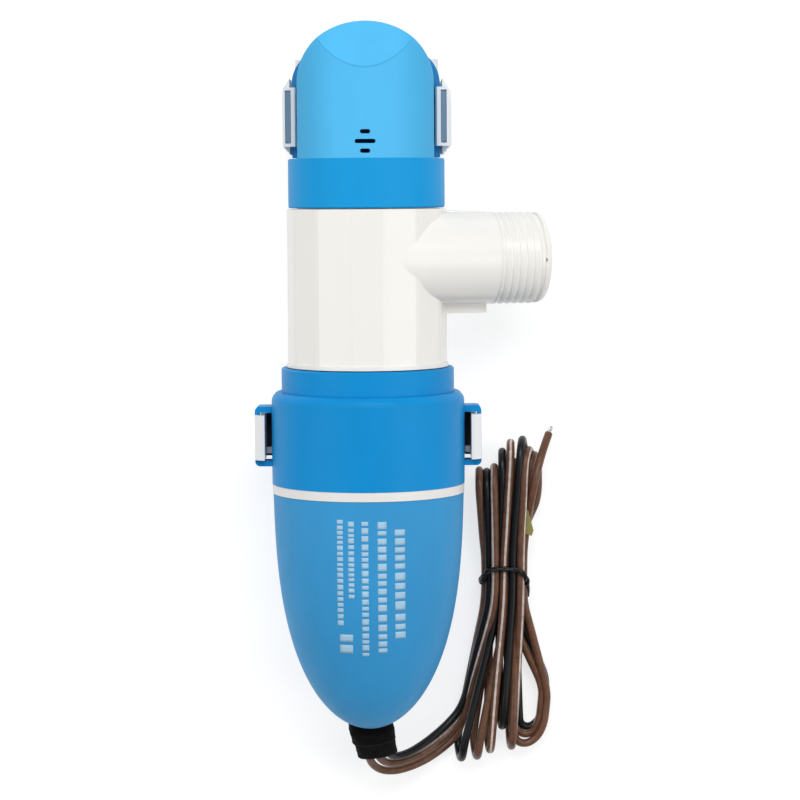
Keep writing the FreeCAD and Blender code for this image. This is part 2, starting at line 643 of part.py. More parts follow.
# ---- cradle and its snap arms -------------------------------------------------------------------
def pivot_pad(pivot, y_range, half_width):
    """Block with a round groove for the root of a snap arm."""
    x, z = pivot
    pad = block((x - half_width, x + half_width), (y_range[0], y_range[1]), (0, z + 1.2))
    pad = pad.cut(rod(BEAD_R + RUN_GAP, (y_range[0] - 1, y_range[1] + 1), x, z))
    return pad.cut(block((x - 1.25, x + 1.45), (y_range[0] - 1, y_range[1] + 1), (z, z + 5)))


def slanted_root(shape):
    """Cut off the two outer corners of an upper arm's root, or of its seat, at a slant."""
    outer = UPPER_PIVOT[0] + UPPER_PAD_HALF_W + 0.1
    across, along = ROOT_SLANT
    for y, way in ((UPPER_ROOT_Y[0] - 0.1, 1), (UPPER_ROOT_Y[1] + 0.1, -1)):
        wedge = prism([(outer, y, -1), (outer, y + way * along, -1), (outer - across, y, -1)],
                      (0, 0, ROOT_SLANT_TOP + 1))
        shape = shape.cut(wedge)
    return shape


def saddle(y_range, radius, half_width):
    """Cross wall whose top is a concave seat for a round body."""
    top = AXIS_Z - math.sqrt(radius ** 2 - half_width ** 2) - 0.6
    wall = block((-half_width, half_width), y_range, (0, top))
    return wall.cut(rod(radius, (y_range[0] - 1, y_range[1] + 1)))


def mounting_cradle():
    """Ladder-shaped base with two saddles, screw holes and seats for the four snap arms."""
    inner_x, outer_x = RAIL_X
    rail = block((inner_x, outer_x), BASE_Y, (0, BASE_T))
    shapes = [rail, mirrored(rail)]
    for y_range in ((62.0, 72.0), (25.5, 40.0), (-10.0, 10.0), (-58.0, -32.0)):
        shapes.append(block((-outer_x, outer_x), y_range, (0, BASE_T)))
    shapes.append(saddle((28.5, 31.0), RING_R + 0.05, 18.0))
    shapes.append(saddle((35.0, 37.5), RING_R + 0.05, 18.0))
    shapes.append(saddle((-38.5, -36.0), COLLAR_R + 0.05, 19.0))
    shapes.append(saddle((-56.0, -53.5), COLLAR_R + 0.05, 19.0))
    for sign in (-1, 1):
        shapes.append(block((sign * 10.0, sign * 12.0), (31.0, 35.0), (0, 10.0)))
        shapes.append(block((sign * 10.0, sign * 12.0), (-53.5, -38.5), (BASE_T - 1, 4.4)))
        shapes.append(block((sign * (outer_x - 1), sign * 31.5), (-54.2, -39.0), (0, BASE_T)))
    upper_pad = slanted_root(pivot_pad(UPPER_PIVOT, UPPER_ROOT_Y, UPPER_PAD_HALF_W))
    upper_tie = block((RAIL_X[1] - 0.5, UPPER_PIVOT[0]), UPPER_ROOT_Y, (0, 2.9))
    lower_seat = (LOWER_ARM_Y[0] - ARM_SIDE_GAP, LOWER_ARM_Y[1] + ARM_SIDE_GAP)
    lower_pad = pivot_pad(LOWER_PIVOT, lower_seat, LOWER_PAD_HALF_W)
    for shape in (upper_pad, upper_tie, lower_pad):
        shapes += [shape, mirrored(shape)]
    cradle = fused(shapes)
    for x in (-SCREW_X, SCREW_X):
        for y in SCREW_YS:
            cradle = cradle.cut(Part.makeCylinder(SCREW_R, BASE_T + 2, V(x, y, -1)))
    return cradle


def upper_arm():
    """Snap arm that hooks inwards over the strainer's flange."""
    inner_x, outer_x = UPPER_ARM_X
    top_z = AXIS_Z - 0.2
    x, z = UPPER_PIVOT
    root_low, root_high = UPPER_ROOT_Y
    low, high = UPPER_ARM_Y
    plate = prism([(inner_x, root_low, z), (inner_x, root_high, z), (outer_x, high, z), (outer_x, low, z)],
                  (0, 0, top_z - 2.0 - z))
    stem = block((inner_x, outer_x), (low + 0.01, high - 0.01), (z - 0.5, top_z))
    bead = rod(BEAD_R, (root_low + 0.2, root_high - 0.2), x, z)
    hook_z = PART_LINE_Z + RUN_GAP
    hook = prism([(UPPER_HOOK_IN, low, hook_z), (outer_x, low, hook_z), (outer_x, low, hook_z + 3.2),
                  (UPPER_HOOK_IN + 0.5, low, hook_z + 3.2), (UPPER_HOOK_IN, low, hook_z + 2.2)],
                 (0, high - low, 0))
    groove = block((outer_x - 2.5, outer_x - 0.7), (low + 0.9, high - 0.9), (hook_z + 1.9, hook_z + 5))
    foot = block((x - 0.95, x + 0.95), (root_low + 0.2, root_high - 0.2), (z, z + 1.5))
    return slanted_root(fused([bead, foot, plate, stem, hook]).cut(groove))


def lower_arm():
    """Snap arm that passes up through the collar's ear and hooks outwards over its rail."""
    inner_x, outer_x = LOWER_ARM_X
    x, z = LOWER_PIVOT
    low, high = LOWER_ARM_Y
    hook_z = EAR_Z[1] + RUN_GAP
    plate = block((inner_x, outer_x), LOWER_ARM_Y, (z, hook_z + 3.0))
    bead = rod(BEAD_R, LOWER_ARM_Y, x, z)
    hook = prism([(inner_x, low, hook_z), (LOWER_HOOK_OUT, low, hook_z), (LOWER_HOOK_OUT, low, hook_z + 1.4),
                  (outer_x - 0.6, low, hook_z + 3.6), (inner_x, low, hook_z + 3.6)], (0, high - low, 0))
    return fused([bead, plate, hook])


# ---- leads and their hank -----------------------------------------------------------------------
HANK_STATIONS = (      # Y, centre X, half width, bottom, top
    (-48.4, 50.4, 3.4, 2.6, 11.6), (-51.5, 49.2, 7.0, 0.5, 15.2), (-58.0, 47.4, 10.2, 0.0, 16.2),
    (-70.0, 46.2, 11.2, 0.0, 15.8), (-83.0, 44.9, 9.6, 0.1, 14.4), (-92.0, 44.3, 8.1, 0.6, 13.4),
    (-101.0, 44.2, 8.1, 0.6, 13.4), (-110.0, 45.4, 9.8, 0.2, 13.8), (-122.0, 46.1, 13.0, 0.0, 15.0),
    (-136.0, 45.4, 14.9, 0.0, 15.8), (-148.0, 42.6, 13.8, 0.0, 15.8), (-154.0, 38.4, 9.6, 0.4, 14.8),
    (-156.8, 35.0, 4.4, 2.6, 11.6))
TIE_Y = (-97.9, -95.7)


def wire_hank():
    """Outer shape of the coiled leads: loops above and below a tie."""
    sections = [oval(x, y, half_width, bottom, top) for y, x, half_width, bottom, top in HANK_STATIONS]
    return Part.makeLoft(sections, True, False)


def hank_tie():
    """Band round the waist of the hank."""
    outer = Part.Face(oval(44.25, TIE_Y[0], 9.0, 0.05, 14.2)).extrude(V(0, TIE_Y[1] - TIE_Y[0], 0))
    return outer.cut(wire_hank())


def wire_tag():
    """Small blank tag on one of the leads."""
    tag = block((51.2, 53.8), (-82.0, -73.0), (12.0, 12.5))
    tag.rotate(V(52.5, -77.5, 12.2), V(0, 1, 0), 28)
    return tag


def stripped_tip():
    """Tinned strands at the free end."""
    end = V(*BROWN_END_ROUTE[-1])
    heading = (end - V(*BROWN_END_ROUTE[-2])).normalize()
    return Part.makeCylinder(TIP_R, 3.0, end, heading)


# ---- every node ---------------------------------------------------------------------------------
save("mounting_cradle", mounting_cradle())
save("upper_arm_right", upper_arm())
save("upper_arm_left", mirrored(upper_arm()))
save("lower_arm_right", lower_arm())
save("lower_arm_left", mirrored(lower_arm()))
save("strainer_shell", strainer_shell())
save("strainer_basket", strainer_basket())
save("volute_housing", volute_housing())
save("volute_end_plate", volute_end_plate())
save("strainer_seal", ring_seal(21.2, 0.65, 29.2))
save("swivel_retainer", swivel_retainer())
save("housing_seal", ring_seal(21.25, 0.65, -13.4))
save("seal_housing", seal_housing())
save("shaft_seal", shaft_seal())
save("motor_collar", motor_collar())
save("band_ring", sleeve(BAND_R, LIP_R + 0.05, BAND_Y))
save("motor_shell", motor_shell())
save("motor_can", motor_can())
save("motor_end_cap", motor_end_cap())
save("field_magnets", field_magnets())
save("front_bearing", sleeve(3.85, SHAFT_R + 0.03, (CAN_Y[1] - 3.9, CAN_Y[1] - 1.1)))
save("rear_bearing", sleeve(3.85, SHAFT_R + 0.03, (CAN_Y[0] - 5.9, CAN_Y[0] - 1.0)))
save("brushes", brushes())
save("brush_springs", brush_springs())
save("control_board", control_board())
save("board_components", board_components())
save("board_screws", board_screws())
save("board_carrier", board_carrier())
save("motor_leads", motor_leads())
save("water_sensor", water_sensor())
save("cable_boot", cable_boot())
save("motor_shaft", motor_shaft())
save("impeller", impeller())
save("impeller_nut", impeller_nut())
save("armature_core", armature_core())
save("armature_windings", armature_windings())
save("commutator", commutator())
save("thrust_washers", thrust_washers())
save("wire_black", round_lead("wire_black", BLACK_ROUTE, WIRE_R))
save("wire_striped", round_lead("wire_striped", STRIPED_ROUTE, WIRE_R))
save("wire_brown", round_lead("wire_brown", BROWN_ROUTE, WIRE_R))
save("wire_brown_end", round_lead("wire_brown_end", BROWN_END_ROUTE, WIRE_R))
save("stripped_tip", stripped_tip())
save("wire_hank", wire_hank())
save("hank_tie", hank_tie())
save("wire_tag", wire_tag())
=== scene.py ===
"""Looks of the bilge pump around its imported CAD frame.

Lengths are in metres. Outlines, paths and their sizes are given in millimetres, and mm() or MM
turns them into metres where they are used.
"""
import json
import math
import random

import bpy
import bmesh
from mathutils import Matrix, Vector
from mathutils.bvhtree import BVHTree


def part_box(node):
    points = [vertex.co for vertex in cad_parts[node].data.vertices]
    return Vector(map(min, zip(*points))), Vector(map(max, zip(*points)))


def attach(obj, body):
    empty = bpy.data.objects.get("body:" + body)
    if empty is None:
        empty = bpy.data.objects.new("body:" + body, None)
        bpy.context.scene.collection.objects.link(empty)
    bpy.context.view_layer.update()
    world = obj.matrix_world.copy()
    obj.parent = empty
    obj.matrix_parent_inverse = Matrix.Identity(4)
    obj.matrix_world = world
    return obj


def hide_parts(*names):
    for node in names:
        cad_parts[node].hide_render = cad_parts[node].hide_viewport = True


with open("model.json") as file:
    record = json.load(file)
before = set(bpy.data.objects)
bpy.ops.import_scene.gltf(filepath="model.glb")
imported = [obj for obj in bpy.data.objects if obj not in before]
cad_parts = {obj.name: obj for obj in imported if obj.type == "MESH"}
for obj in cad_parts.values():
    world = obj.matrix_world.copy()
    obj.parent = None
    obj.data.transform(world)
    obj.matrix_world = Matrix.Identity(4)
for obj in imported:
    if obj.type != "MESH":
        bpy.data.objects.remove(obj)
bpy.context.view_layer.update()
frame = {"nodes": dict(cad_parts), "record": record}

MM = 0.001
AXIS_Z = 34.0 * MM
ROOT = "pump"
rng = random.Random(7)


def mm(*values):
    """A point given in millimetres, in metres."""
    return Vector(values) * MM


# ---- camera -------------------------------------------------------------------------------------
CAMERA_AT = mm(10.0, 30.3, 846.0)
LOOK_AT = mm(10.0, -35.3, 34.0)
CAMERA_ROLL = math.radians(0.37)
LENS = 117.3                # millimetres, on a sensor of SENSOR millimetres
SENSOR = 36.0


def make_camera():
    """Long lens straight above the pump, leaning a little from the strainer's side."""
    camera = bpy.data.objects.new("camera", bpy.data.cameras.new("camera"))
    bpy.context.scene.collection.objects.link(camera)
    camera.location = CAMERA_AT
    forward = (LOOK_AT - CAMERA_AT).normalized()
    level = Vector((1, 0, 0))
    upright = level.cross(forward).normalized()
    right = level * math.cos(CAMERA_ROLL) - upright * math.sin(CAMERA_ROLL)
    up = upright * math.cos(CAMERA_ROLL) + level * math.sin(CAMERA_ROLL)
    camera.matrix_world = Matrix((
        (right.x, up.x, -forward.x, CAMERA_AT.x), (right.y, up.y, -forward.y, CAMERA_AT.y),
        (right.z, up.z, -forward.z, CAMERA_AT.z), (0, 0, 0, 1)))
    camera.data.lens = LENS
    camera.data.sensor_width = SENSOR
    camera.data.clip_start = 0.01
    camera.data.clip_end = 10.0
    bpy.context.scene.camera = camera


make_camera()


# ---- materials ----------------------------------------------------------------------------------
FLOW_SCALE = 38.0           # texture scales, per metre of object space
FLOW_STRETCH = (1.0, 0.45, 1.0)
SMUDGE_SCALE = 95.0
WAVE_SCALE = 60.0
GRAIN_SCALE = 3200.0
DUST_SCALE = 420.0
DRAWN_SCALE = 260.0
WAVE_DEPTH = 0.00035        # bump heights, in metres
GRAIN_DEPTH = 0.00003
LOW, HIGH = 0.3, 0.7        # the share of its 0..1 range that a noise texture mostly fills


def new_material(name):
    """Empty node material and its Principled shader."""
    material = bpy.data.materials.new(name)
    material.use_nodes = True
    tree = material.node_tree
    shader = tree.nodes["Principled BSDF"]
    return material, tree, shader


def link(tree, out, into):
    """Join two sockets."""
    tree.links.new(out, into)


def noise(tree, coords, scale, detail=3.0, rough=0.55, stretch=None):
    """Noise texture in object space, stretched where asked."""
    node = tree.nodes.new("ShaderNodeTexNoise")
    node.inputs["Scale"].default_value = scale
    node.inputs["Detail"].default_value = detail
    node.inputs["Roughness"].default_value = rough
    if stretch:
        mapping = tree.nodes.new("ShaderNodeMapping")
        mapping.inputs["Scale"].default_value = stretch
        link(tree, coords, mapping.inputs["Vector"])
        coords = mapping.outputs["Vector"]
    link(tree, coords, node.inputs["Vector"])
    return node.outputs["Fac"]


def ramp(tree, value, stops):
    """Colour ramp between two (position, colour) stops."""
    node = tree.nodes.new("ShaderNodeValToRGB")
    for element, (position, colour) in zip(node.color_ramp.elements, stops):
        element.position = position
        element.color = (*colour, 1.0)
    link(tree, value, node.inputs["Fac"])
    return node.outputs["Color"]


def spread(tree, value, low, high):
    """Map a noise value to a range."""
    node = tree.nodes.new("ShaderNodeMapRange")
    node.inputs["From Min"].default_value = LOW
    node.inputs["From Max"].default_value = HIGH
    node.inputs["To Min"].default_value = low
    node.inputs["To Max"].default_value = high
    link(tree, value, node.inputs["Value"])
    return node.outputs["Result"]


def add_bump(tree, shader, layers):
    """Stack bump layers, each (height socket, distance in metres, strength)."""
    normal = None
    for height, distance, strength in layers:
        node = tree.nodes.new("ShaderNodeBump")
        node.inputs["Distance"].default_value = distance
        node.inputs["Strength"].default_value = strength
        link(tree, height, node.inputs["Height"])
        if normal is not None:
            link(tree, normal, node.inputs["Normal"])
        normal = node.outputs["Normal"]
    link(tree, normal, shader.inputs["Normal"])


def shade_of(colour, factor):
    """Colour scaled in brightness."""
    return tuple(min(1.0, channel * factor) for channel in colour)


def varied(tree, value, colour, by):
    """Colour that a noise value makes darker and lighter by a share of its brightness."""
    return ramp(tree, value, ((LOW, shade_of(colour, 1 - by)), (HIGH, shade_of(colour, 1 + by))))


def flow_marks(tree, coords):
    """Wide, faint flow marks of moulded plastic."""
    return noise(tree, coords, FLOW_SCALE, 4.0, 0.6, FLOW_STRETCH)


def object_coords(tree):
    """The object's own coordinates."""
    return tree.nodes.new("ShaderNodeTexCoord").outputs["Object"]


def moulded(name, colour, rough=0.35, grain=0.35, specular=0.5, variation=0.06, uneven=0.06,
            waves=0.25):
    """Moulded plastic: faint flow marks, fine spark-eroded grain, slightly uneven gloss."""
    material, tree, shader = new_material(name)
    coords = object_coords(tree)
    tint = varied(tree, flow_marks(tree, coords), colour, variation)
    link(tree, tint, shader.inputs["Base Color"])
    smudge = noise(tree, coords, SMUDGE_SCALE, 5.0, 0.65)
    link(tree, spread(tree, smudge, rough - uneven, rough + uneven), shader.inputs["Roughness"])
    fine = noise(tree, coords, GRAIN_SCALE, 2.0, 0.5)
    wave = noise(tree, coords, WAVE_SCALE, 2.0, 0.5)
    add_bump(tree, shader, ((wave, WAVE_DEPTH, waves), (fine, GRAIN_DEPTH, grain)))
    shader.inputs["Specular IOR Level"].default_value = specular
    return material


def soft_rubber(name, colour, rough=0.55, grain=0.5, specular=0.3):
    """Rubber or PVC with a fine dusty grain."""
    material, tree, shader = new_material(name)
    coords = object_coords(tree)
    dust = noise(tree, coords, DUST_SCALE, 6.0, 0.7)
    tint = ramp(tree, dust, ((0.35, colour), (0.72, shade_of(colour, 1.8))))
    link(tree, tint, shader.inputs["Base Color"])
    worn = noise(tree, coords, 160.0)
    link(tree, spread(tree, worn, rough - 0.08, rough + 0.08), shader.inputs["Roughness"])
    add_bump(tree, shader, ((noise(tree, coords, 900.0, 4.0, 0.6), 0.00006, grain),
                            (noise(tree, coords, 3500.0, 2.0), 0.00002, grain)))
    shader.inputs["Specular IOR Level"].default_value = specular
    return material


def metal(name, colour, rough=0.3, stretch=(1.0, 12.0, 1.0)):
    """Turned or drawn metal with fine lines."""
    material, tree, shader = new_material(name)
    lines = noise(tree, object_coords(tree), DRAWN_SCALE, 5.0, 0.6, stretch)
    tint = ramp(tree, lines, ((LOW, shade_of(colour, 0.82)), (HIGH, shade_of(colour, 1.1))))
    link(tree, tint, shader.inputs["Base Color"])
    link(tree, spread(tree, lines, rough - 0.08, rough + 0.1), shader.inputs["Roughness"])
    add_bump(tree, shader, ((lines, 0.00002, 0.4),))
    shader.inputs["Metallic"].default_value = 1.0
    return material


BLUE = (0.003, 0.245, 0.580)
BLUE_RING = (0.004, 0.290, 0.644)
# the dome's crown is painted lighter than its ring as a highlight, and its sides darker as shade
BLUE_DOME_LIT = (0.078, 0.450, 0.790)
BLUE_DOME_SIDE_SHADE = (0.055, 0.360, 0.640)
# darker blue along the dome's crease: painted shade
BLUE_CREASE_SHADE = (0.048, 0.345, 0.665)
BLUE_SHELL = (0.034, 0.282, 0.580)
# a darker copy of the blue that stands in for shade: painted shade
BLUE_SHADED = (0.012, 0.19, 0.43)
BLUE_UNLIT = (0.0015, 0.005, 0.014)
WHITE = (0.80, 0.785, 0.745)
materials = {
    "blue_body": moulded("blue_body", BLUE, 0.42, 0.4, 0.12),
    "blue_shell": moulded("blue_shell", BLUE_SHELL, 0.52, 0.6, 0.18),
    # its darker blue is painted shade
    "blue_base": moulded("blue_base", BLUE_SHADED, 0.42, 0.5, 0.2),
    "white_housing": moulded("white_housing", WHITE, 0.24, 0.2, 0.5, 0.015, 0.015, 0.06),
    "white_cradle": moulded("white_cradle", (0.78, 0.79, 0.80), 0.32, 0.25, 0.4, 0.02),
    "white_band": moulded("white_band", (0.74, 0.73, 0.71), 0.35, 0.2, 0.4, 0.02),
    "grey_internal": moulded("grey_internal", (0.25, 0.26, 0.28), 0.5, 0.5),
    "seal_rubber": soft_rubber("seal_rubber", (0.008, 0.008, 0.008)),
    "boot_rubber": soft_rubber("boot_rubber", (0.0012, 0.0012, 0.0012), 0.6, 0.6, 0.06),
    "steel": metal("steel", (0.60, 0.60, 0.61)),
    "copper": metal("copper", (0.72, 0.36, 0.20), 0.35, (6.0, 1.0, 6.0)),
    "bronze": metal("bronze", (0.60, 0.44, 0.24), 0.4, (3.0, 1.0, 3.0)),
    "magnet": soft_rubber("magnet", (0.05, 0.05, 0.055), 0.6),
    "carbon": soft_rubber("carbon", (0.03, 0.03, 0.032), 0.6),
    "board_green": moulded("board_green", (0.02, 0.17, 0.07), 0.35, 0.3),
    "component_black": moulded("component_black", (0.02, 0.02, 0.022), 0.4, 0.6),
    "impeller_plastic": moulded("impeller_plastic", (0.70, 0.69, 0.65), 0.45, 0.5),
    "wire_black": soft_rubber("wire_black", (0.003, 0.003, 0.0033), 0.34, 0.3, 0.3),
    "wire_brown": soft_rubber("wire_brown", (0.095, 0.042, 0.023), 0.34, 0.3, 0.32),
    "wire_white": soft_rubber("wire_white", (0.40, 0.335, 0.30), 0.38, 0.3),
    "tie_black": soft_rubber("tie_black", (0.004, 0.004, 0.004), 0.4, 0.5),
    "tag_yellow": moulded("tag_yellow", (0.235, 0.215, 0.055), 0.5, 0.4),
    "tinned": metal("tinned", (0.72, 0.70, 0.67), 0.35, (1.0, 6.0, 1.0)),
    # blue-grey of the clips' groove strips: painted shade deep in the grooves
    "groove_shade_grey": moulded("groove_shade_grey", (0.15, 0.24, 0.33), 0.5, 0.5, 0.2),
    "ink": moulded("ink", (0.36, 0.56, 0.72), 0.5, 0.5, 0.1),
}
RING_END = 39.9 * MM        # the strainer's deeper blue ring ends here and its dome, painted lighter as a highlight, begins
RING_R = 24.3 * MM
CAP_START = 67.1 * MM       # the dome's sloped cap starts here on its crown
CAP_SLOPE = math.tan(math.radians(29.0))
INSIDE_R = 22.4 * MM        # nearer the axis than this is the strainer's unlit inside,
INSIDE_HALF_W = 19.6 * MM   # between its flat side walls
VENT_END = 60.0 * MM        # and only on the ring's side of the dome's nose
# the moulding line's darker blue is painted shade
CREASE_IN = 0.12 * MM       # the moulding line is drawn this far in along the slope
CREASE_DEEP = 0.14 * MM     # and this far below the crown
SIDE_SHADE_X = (9.0 * MM, 21.0 * MM)      # across these widths the crown's painted highlight turns into the sides' painted shade


def with_number(tree, operation, value, number):
    """Maths node on a socket and a number."""
    node = tree.nodes.new("ShaderNodeMath")
    node.operation = operation
    link(tree, value, node.inputs[0])
    node.inputs[1].default_value = number
    return node.outputs["Value"]


def combined(tree, operation, first, second):
    """Maths node on two sockets."""
    node = tree.nodes.new("ShaderNodeMath")
    node.operation = operation
    link(tree, first, node.inputs[0])
    link(tree, second, node.inputs[1])
    return node.outputs["Value"]


def mixed(tree, factor, first, second):
    """Colour mix of two sockets by a factor socket."""
    node = tree.nodes.new("ShaderNodeMix")
    node.data_type = "RGBA"
    link(tree, factor, node.inputs["Factor"])
    link(tree, first, node.inputs["A"])
    link(tree, second, node.inputs["B"])
    return node.outputs["Result"]


def distance_from_axis(tree, across, height):
    """How far a point is from the pump's axis, from its two offsets."""
    offsets = tree.nodes.new("ShaderNodeCombineXYZ")
    link(tree, across, offsets.inputs["X"])
    link(tree, height, offsets.inputs["Z"])
    length = tree.nodes.new("ShaderNodeVectorMath")
    length.operation = "LENGTH"
    link(tree, offsets.outputs["Vector"], length.inputs[0])
    return length.outputs["Value"]


def crease_shade_mask(tree, along, height, radius):
    """1 on the thin moulding line where the sloped cap meets the round crown, which is painted
    darker as shade.
    """
    past_start = with_number(tree, "SUBTRACT", along, CAP_START)
    down_slope = with_number(tree, "MULTIPLY", past_start, CAP_SLOPE)
    over_cap = with_number(tree, "SUBTRACT", combined(tree, "ADD", height, down_slope), RING_R)
    on_slope = with_number(tree, "GREATER_THAN", over_cap, -CREASE_IN)
    on_crown = with_number(tree, "GREATER_THAN", radius, RING_R - CREASE_DEEP)
    both = combined(tree, "MULTIPLY", on_slope, on_crown)
    on_cap = with_number(tree, "GREATER_THAN", along, CAP_START - MM)
    return combined(tree, "MULTIPLY", both, on_cap)


def inside_mask(tree, along, across, radius):
    """1 on the walls of the slots and on the strainer's inside."""
    before_nose = with_number(tree, "LESS_THAN", along, VENT_END)
    near_axis = with_number(tree, "LESS_THAN", radius, INSIDE_R)
    both = combined(tree, "MULTIPLY", before_nose, near_axis)
    between_walls = with_number(tree, "LESS_THAN", across, INSIDE_HALF_W)
    return combined(tree, "MULTIPLY", both, between_walls)


def strainer_plastic():
    """The strainer's blue: deeper on its ring, lighter on the dome as painted highlight with
    painted shade at its sides and crease, unlit inside its slots.
    """
    material = moulded("blue_dome", BLUE_DOME_LIT, 0.44, 0.4, 0.14)
    tree = material.node_tree
    shader = tree.nodes["Principled BSDF"]
    coords = object_coords(tree)
    flow = flow_marks(tree, coords)

    split = tree.nodes.new("ShaderNodeSeparateXYZ")
    link(tree, coords, split.inputs["Vector"])
    along = split.outputs["Y"]
    height = with_number(tree, "SUBTRACT", split.outputs["Z"], AXIS_Z)
    radius = distance_from_axis(tree, split.outputs["X"], height)
    reach = tree.nodes.new("ShaderNodeMath")
    reach.operation = "ABSOLUTE"
    link(tree, split.outputs["X"], reach.inputs[0])
    across = reach.outputs["Value"]

    side = tree.nodes.new("ShaderNodeMapRange")
    side.inputs["From Min"].default_value, side.inputs["From Max"].default_value = SIDE_SHADE_X
    link(tree, across, side.inputs["Value"])

    def tint(colour):
        return varied(tree, flow, colour, 0.05)

    # painted highlight on the dome's crown, fading into painted shade on its sides
    dome = mixed(tree, side.outputs["Result"], tint(BLUE_DOME_LIT), tint(BLUE_DOME_SIDE_SHADE))
    # painted shade along the crease between the cap and the crown
    dome = mixed(tree, crease_shade_mask(tree, along, height, radius), dome, tint(BLUE_CREASE_SHADE))
    on_dome = with_number(tree, "GREATER_THAN", along, RING_END)
    outside = mixed(tree, on_dome, tint(BLUE_RING), dome)
    inside = inside_mask(tree, along, across, radius)
    link(tree, mixed(tree, inside, outside, tint(BLUE_UNLIT)), shader.inputs["Base Color"])
    return material


materials["blue_dome"] = strainer_plastic()
OWN_FINISH = {"motor_shell": "blue_shell", "strainer_shell": "blue_dome",
              "wire_striped": "wire_brown"}


def paint_nodes():
    """Give every CAD node the material of its slot."""
    slot_of = {part["node"]: part["material_slot"] for part in frame["record"]["subparts"]}
    for name, node in frame["nodes"].items():
        node.data.materials.clear()
        node.data.materials.append(materials[OWN_FINISH.get(name, slot_of[name])])
        for face in node.data.polygons:
            face.material_index = 0


paint_nodes()


# ---- leads --------------------------------------------------------------------------------------
WIRE_D = 2.6 * MM
# routes from the sleeve's mouth to the hank, in millimetres
BLACK_ROUTE = ((4.9, -148.2, 25.0), (6.4, -151.2, 21.6), (11.6, -151.4, 16.6),
               (18.3, -148.4, 10.9), (24.8, -143.8, 6.6), (29.9, -138.2, 4.7))
STRIPED_ROUTE = ((2.0, -148.6, 25.0), (2.8, -152.8, 20.9), (8.8, -154.6, 15.8),
                 (16.8, -152.4, 10.0), (24.4, -147.8, 5.6), (30.0, -142.0, 4.0))
BROWN_ROUTE = ((-0.9, -149.0, 25.0), (-0.4, -154.0, 20.2), (5.8, -157.8, 15.0),
               (15.4, -156.4, 9.0), (24.0, -151.8, 4.4), (29.3, -146.4, 3.0))
WAIST_X = 43.15
WAIST_Y = -96.0
WAIST_HALF = 7.0            # the strands run parallel this far each side of the tie
ROW_Z = (3.2, 5.5, 7.8, 10.1, 12.4)         # heights of the five rows of strands in the tie
TOP, BOTTOM = 1, -1         # the hank's ends, near the spigot and near the sleeve
STRAY = 0.15                # how far a strand wanders sideways, in millimetres


def fold(x, y, way, low, high, lean):
    """Control points of an upright hairpin whose tip is at (x, y); way is TOP or BOTTOM."""
    radius = (high - low) / 2
    middle = (high + low) / 2
    points = []
    for step in range(5):
        angle = math.radians(90 - 45 * step) * way
        points.append((x + lean * (step - 2) / 4, y - way * radius * (1 - math.cos(angle)),
                       middle + radius * math.sin(angle)))
    return points


def open_loop(x, y, left, right, rise, z_in, z_out):
    """Control points of a flat drop-shaped loop at the foot of the hank, with its tip at (x, y).

    It comes down its left side and goes up its right side, which is widest `rise` above the tip.
    """
    points = []
    for step in range(8):
        angle = math.radians(180 + 180 * step / 7)
        reach, height = (left, left) if step < 4 else (right, rise)
        points.append((x + reach * math.cos(angle), y + height * (1 + math.sin(angle)),
                       z_in + (z_out - z_in) * step / 7))
    return points + [(x + right + 0.5, y + rise + 6.0, z_out)]


def strand(start, slot, end):
    """Control points of one pass between two folds, squeezed through the tie, its ends left out."""
    row, offset = slot
    x, z = WAIST_X + offset, ROW_Z[row]
    way = 1 if end[1] > start[1] else -1
    near = (x, WAIST_Y - way * WAIST_HALF, z)
    far = (x, WAIST_Y + way * WAIST_HALF, z)
    points = [tuple(a + (b - a) * share for a, b in zip(start, near)) for share in (0.33, 0.72)]
    points += [near, far]
    points += [tuple(a + (b - a) * share for a, b in zip(far, end)) for share in (0.28, 0.67)]
    return [(px + rng.uniform(-STRAY, STRAY), py, pz) for px, py, pz in points]


def lead_points(route, turns, slots, tail):
    """Control points of one lead: its route, its turns, each after a pass, and its free end."""
    points = list(route)
    here = route[-1]
    for turn, slot in zip(turns, slots):
        points += strand(here, slot, turn[0]) + turn
        here = turn[-1]
    return points + strand(here, slots[-1], tail[0]) + list(tail)


def spline_curve(name, points, radius):
    """Curve object of one open quadratic NURBS spline through control points in millimetres."""
    data = bpy.data.curves.new(name, "CURVE")
    data.dimensions = "3D"
    spline = data.splines.new("NURBS")
    spline.points.add(len(points) - 1)
    for target, point in zip(spline.points, points):
        target.co = (*mm(*point), 1.0)
    spline.order_u = 3
    spline.use_endpoint_u = True
    spline.resolution_u = 8
    data.resolution_u = 8
    data.bevel_depth = radius
    data.bevel_resolution = 5
    data.use_fill_caps = True
    curve = bpy.data.objects.new(name, data)
    bpy.context.scene.collection.objects.link(curve)
    return curve


def centreline(points, name):
    """Points along the smooth NURBS line, read from a curve with no bevel."""
    guide = spline_curve(name, points, 0.0)
    bpy.context.view_layer.update()
    evaluated = guide.evaluated_get(bpy.context.evaluated_depsgraph_get())
    mesh = bpy.data.meshes.new_from_object(evaluated)
    line = [vertex.co.copy() for vertex in mesh.vertices]
    bpy.data.meshes.remove(mesh)
    bpy.data.objects.remove(guide)
    return line


def distances(line):
    """How far along a polyline each of its points is."""
    travelled = [0.0]
    for a, b in zip(line, line[1:]):
        travelled.append(travelled[-1] + (b - a).length)
    return travelled


def length_of(line):
    """Length of a polyline."""
    return distances(line)[-1]


def round_ring(grid, centre, side, up, angles, radius):
    """New vertices round a centre, one at each angle."""
    return [grid.verts.new(centre + (side * math.cos(angle) + up * math.sin(angle)) * radius)
            for angle in angles]


